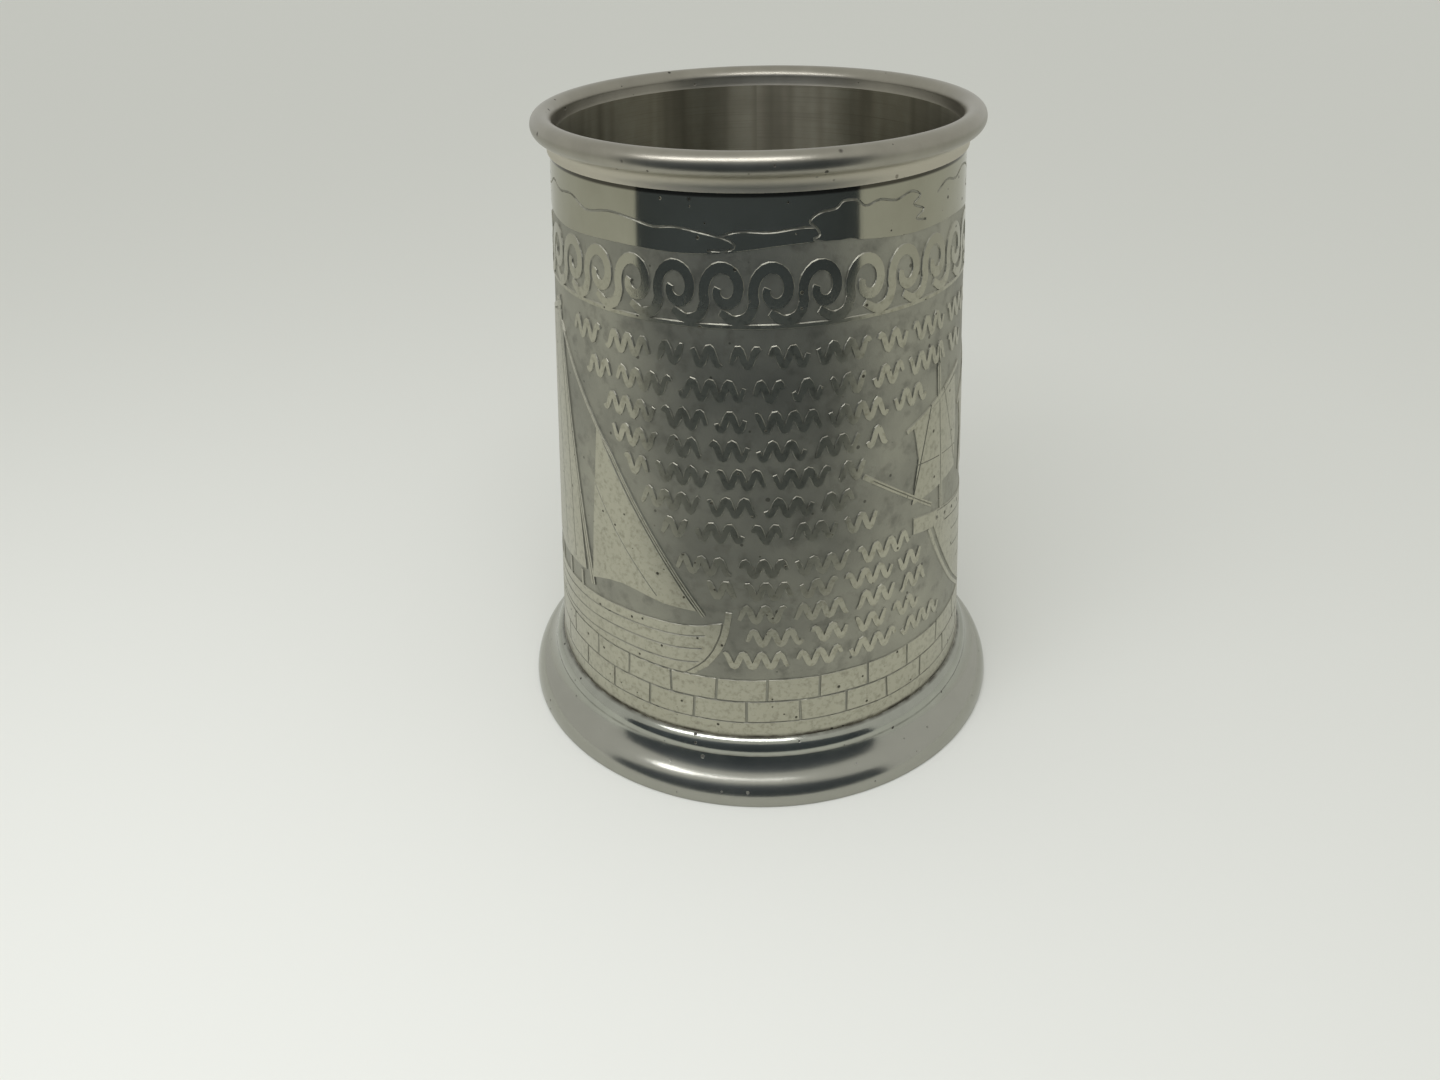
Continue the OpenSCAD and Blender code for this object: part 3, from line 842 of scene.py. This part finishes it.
def make_foot(material):
    foot_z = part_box("foot_ring")[1].z / MM
    foot_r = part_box("foot_ring")[1].x / MM
    base_z = body.low_z
    solder, wall, hem, hem_z, edge = 0.15, 1.3, 2.4, 1.8, 0.3
    shoulder_r, shoulder_angle, crease_z, flank = 3.7, 64, foot_z - 3.2, 54
    ovolo_r, cavetto_r, under_z = 6.0, 8.0, base_z - 1.1
    shoulder_x = body.r(foot_z) + solder - shoulder_r * math.cos(math.radians(shoulder_angle))
    shoulder_z = foot_z - shoulder_r * math.sin(math.radians(shoulder_angle))
    shoulder_end = math.degrees(math.asin((crease_z - shoulder_z) / shoulder_r))
    ovolo_x = foot_r - ovolo_r
    cavetto_x = ovolo_x + (ovolo_r + cavetto_r) * math.cos(math.radians(flank))
    cavetto_z = edge + (ovolo_r + cavetto_r) * math.sin(math.radians(flank))
    crease = math.degrees(math.asin((cavetto_z - crease_z) / cavetto_r))
    under = math.degrees(math.asin((cavetto_z - under_z) / (cavetto_r + wall)))
    ledge_r = body.r(base_z) - BODY_WALL + 0.13
    outline = arc(shoulder_x, shoulder_z, shoulder_r, shoulder_angle, shoulder_end, 26)
    outline += arc(cavetto_x, cavetto_z, cavetto_r, 180 + crease + 0.4, 180 + flank, 26)
    outline += arc(ovolo_x, edge, ovolo_r, flank, 0, 34)[1:]
    outline += arc(foot_r - edge, edge, edge, 0, -90, 6)[1:]
    outline += arc(foot_r - hem + edge, edge, edge, -90, -180, 6) + [(foot_r - hem, hem_z)]
    outline += arc(ovolo_x, edge, ovolo_r - wall, 32, flank, 10)
    outline += arc(cavetto_x, cavetto_z, cavetto_r + wall, 180 + flank, 180 + under, 16)[1:]
    outline += [(ledge_r, under_z), (ledge_r, base_z), (body.r(base_z) + solder, base_z)]
    return lathe("foot_flare", outline[::-1], material)


class Handle:
    """The handle's middle line and section, by the same rules as the CAD model."""

    wide, deep, wall, gap = 15.0, 9.0, 1.5, 0.3

    def __init__(self):
        self.top_z, self.low_z, self.reach = body_top() - 20, 38.0, 81.98
        top_y, low_y = body.r(self.top_z) + self.gap, body.r(self.low_z) + self.gap
        top_z, low_z, reach = self.top_z, self.low_z, self.reach
        self.route = [(top_y - 9, top_z - 3), (top_y, top_z), (top_y + 11, top_z + 3.6),
                      (reach - 20, top_z + 4.6), (reach - 9, top_z - 0.5), (reach - 2, top_z - 11),
                      (reach, top_z - 25), (reach - 4, top_z - 39), (reach - 13, low_z + 15),
                      (reach - 25, low_z + 5), (low_y, low_z), (low_y - 12, low_z - 2)]
        self.spans = len(self.route) - 3

    def at(self, u):
        i = min(int(u), self.spans - 1)
        t = u - i
        a, b, c, d = self.route[i:i + 4]
        return [0.5 * (2 * q + (r - p) * t + (2 * p - 5 * q + 4 * r - s) * t * t
                       + (3 * q - p - 3 * r + s) * t ** 3) for p, q, r, s in zip(a, b, c, d)]

    def ahead(self, u):
        (ay, az), (by, bz) = self.at(max(u - 0.02, 0)), self.at(min(u + 0.02, self.spans))
        long = math.hypot(by - ay, bz - az)
        return (by - ay) / long, (bz - az) / long

    def half_wide(self, s):
        return self.wide / 2 * (1 - 0.26 * s + 0.22 * bump(s, 0, 0.06) + 0.16 * bump(s, 0.24, 0.07)
                                + 0.4 * bump(s, 1, 0.07))

    def half_deep(self, s):
        return self.deep / 2 * (1 - 0.2 * s + 0.2 * bump(s, 0, 0.06) + 0.06 * bump(s, 0.26, 0.06)
                                + 0.4 * bump(s, 1, 0.07))

    def point(self, s, turn, inset, side):
        """A point of the section at share s of the length, at an angle round it."""
        u = s * self.spans
        (y, z), (dy, dz) = self.at(u), self.ahead(u)
        x = side * (self.half_wide(s) - inset) * math.cos(turn)
        n = (self.half_deep(s) - inset) * math.sin(turn)
        return x, y - n * dz, z + n * dy

    def on_body(self, x, z):
        return math.sqrt((body.r(z) + self.gap) ** 2 - x * x)

    def surface(self, s, turn, inset, side):
        """As point(), with both ends drawn on to the face of the body."""
        x, y, z = self.point(s, turn, inset, side)
        for end in (0, 1):
            share = 1 - abs(s - end) / 0.04
            if share > 0:
                ex, ey, ez = self.point(end, turn, inset, side)
                y += (self.on_body(ex, ez) - ey) * share
        return x, y, z


def body_top():
    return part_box("lip_mount")[1].z / MM


def bump(s, at, width):
    return math.exp(-((s - at) / width) ** 2)


def make_handle(side, material):
    """One hollow half of the handle. Its edges on the middle plane are eased, so the joint shows."""
    handle, rings, ease = Handle(), 150, 0.09
    outer = [-90, -88.4] + [-84 + 12 * i for i in range(15)] + [88.4, 90]
    outer = [(math.radians(a), ease if abs(a) == 90 else 0.0) for a in outer]
    inner = [(math.radians(90 - 15 * i), handle.wall) for i in range(13)]
    loop = outer + inner
    verts = [handle.surface(k / rings, turn, inset, side) for k in range(rings + 1) for turn, inset in loop]
    n, faces = len(loop), []
    for k in range(rings):
        for i in range(n):
            j = (i + 1) % n
            faces.append([k * n + i, k * n + j, (k + 1) * n + j, (k + 1) * n + i])
    faces += [list(range(n))[::-1], list(range(rings * n, rings * n + n))]
    if side == 1:
        faces = [f[::-1] for f in faces]
    piece = new_object("handle_half_" + ("right" if side == 1 else "left"), verts, faces, None, [material])
    piece.data.set_sharp_from_angle(angle=math.radians(40))
    return piece


def make_fillet(name, s, material):
    """The fillet of solder round one end of the handle."""
    handle = Handle()
    height = handle.top_z if s == 0 else handle.low_z
    wide, deep = handle.half_wide(s), handle.half_deep(s)
    rows = [(1.3, 0.0), (0.75, 0.16), (0.38, 0.42), (0.16, 0.85), (0.02, 1.5), (-0.5, 1.3), (-1.4, 0.28),
            (-1.4, 0.0)]
    count, verts, faces = 64, [], []
    for k in range(count):
        turn = 2 * math.pi * k / count
        ragged = 1 + 0.12 * math.sin(5 * turn + 1 + s) + 0.08 * math.sin(9 * turn)
        for grow, lift in rows:
            reach = grow * ragged if grow > 0.1 else grow
            x = (wide + reach) * math.cos(turn)
            z = height + (deep + reach) * math.sin(turn)
            y = math.sqrt(body.r(z) ** 2 - x * x)
            verts.append((x, y + lift, z))
    n = len(rows)
    for k in range(count):
        after = (k + 1) % count
        for i in range(n):
            j = (i + 1) % n
            faces.append([k * n + i, after * n + i, after * n + j, k * n + j][::-1])
    piece = new_object(name, verts, faces, None, [material])
    piece.data.set_sharp_from_angle(angle=math.radians(60))
    return piece


# ---- Base: seat ring, glass, seal and retaining ring, with eased edges ----

def eased(corners, size):
    """A closed outline with a small chamfer at each corner."""
    outline = []
    for before, here, after in zip(corners[-1:] + corners[:-1], corners, corners[1:] + corners[:1]):
        for other in (before, after):
            long = math.hypot(other[0] - here[0], other[1] - here[1])
            share = min(size / long, 0.4)
            outline.append((here[0] + (other[0] - here[0]) * share, here[1] + (other[1] - here[1]) * share))
    return outline


def make_base(metal, glass):
    glass_low, glass_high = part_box("glass_base")
    r, low, high = glass_high.x / MM, glass_low.z / MM, glass_high.z / MM
    disc = eased([(0.01, low), (r, low), (r, high), (0.01, high)], 0.35)
    seal, flange, solder, seat_r = 0.4, high + 0.4, 0.15, 38.0
    seat_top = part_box("seat_ring")[1].z / MM
    inner = body.r(low) - BODY_WALL - solder, body.r(seat_top) - BODY_WALL - solder
    seat = eased([(r + seal, low), (inner[0], low), (inner[1], seat_top), (seat_r, seat_top),
                  (seat_r, flange), (r + seal, flange)], 0.22)
    hold_low, hold_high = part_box("glass_retainer")
    hold_r = hold_high.x / MM
    hold = eased([(seat_r + 1, hold_low.z / MM), (hold_r, hold_low.z / MM), (hold_r, hold_high.z / MM),
                  (seat_r + 1, hold_high.z / MM)], 0.2)
    return (lathe("glass_disc", disc[1:-1], glass), lathe("seat_flange", seat, metal),
            lathe("retaining_ring", hold, metal))


# ---- The object ----

make_camera()
make_stage()
# Below 121 mm the lip's collar gets a much paler tint: painted sheen for the lit floor its rough face
# catches.
lip_metal = turned_metal("pewter_lip", (0.325, 0.31, 0.262), 0.26, 0.3, dull=(121, 0.2, (0.68, 0.64, 0.53)))
# Foot bands: tarnish at the joint (12.1) and grime at the bottom edge (0.5); the crease at 8.95 is also
# painted shade.
foot_metal = turned_metal("pewter_foot", (0.38, 0.387, 0.34), 0.09, 0.35,
                          tarnish_and_shade_bands=[(12.1, 0.4, 1.0), (8.95, 0.45, 0.6), (0.5, 3.5, 0.25)],
                          dull=(8.5, 0.05, (0.385, 0.38, 0.335)))
inner_metal = turned_metal("pewter_inner", (0.42, 0.41, 0.34), 0.3, 0.3)
handle_metal, solder, glass = cast_metal(), solder_metal(), base_glass()

brushed = brushed_inside()
pieces = [
    (make_body([polished_face(), etched_ground(), brushed]), "barrel", "pewter_body"),
    (make_lip(lip_metal), "lip_mount", "pewter_mounts"),
    (make_foot(foot_metal), "foot_ring", "pewter_mounts"),
    (make_handle(-1, handle_metal), "handle_left", "pewter_handle"),
    (make_handle(1, handle_metal), "handle_right", "pewter_handle"),
    (make_fillet("upper_fillet", 0, solder), "handle_upper_solder", "solder"),
    (make_fillet("lower_fillet", 1, solder), "handle_lower_solder", "solder"),
]
for piece, node, slot in zip(make_base(inner_metal, glass), ("glass_base", "seat_ring", "glass_retainer"),
                             ("glass", "pewter_inner", "pewter_inner")):
    pieces.append((piece, node, slot))
for piece, node, slot in pieces:
    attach(piece, "root")
    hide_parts(node)

for node, material in (("barrel_seam", brushed), ("lip_solder", solder), ("foot_solder", solder),
                       ("seat_solder", solder), ("retainer_solder", solder),
                       ("glass_seal", sealing_compound())):
    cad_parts[node].data.materials.clear()
    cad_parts[node].data.materials.append(material)
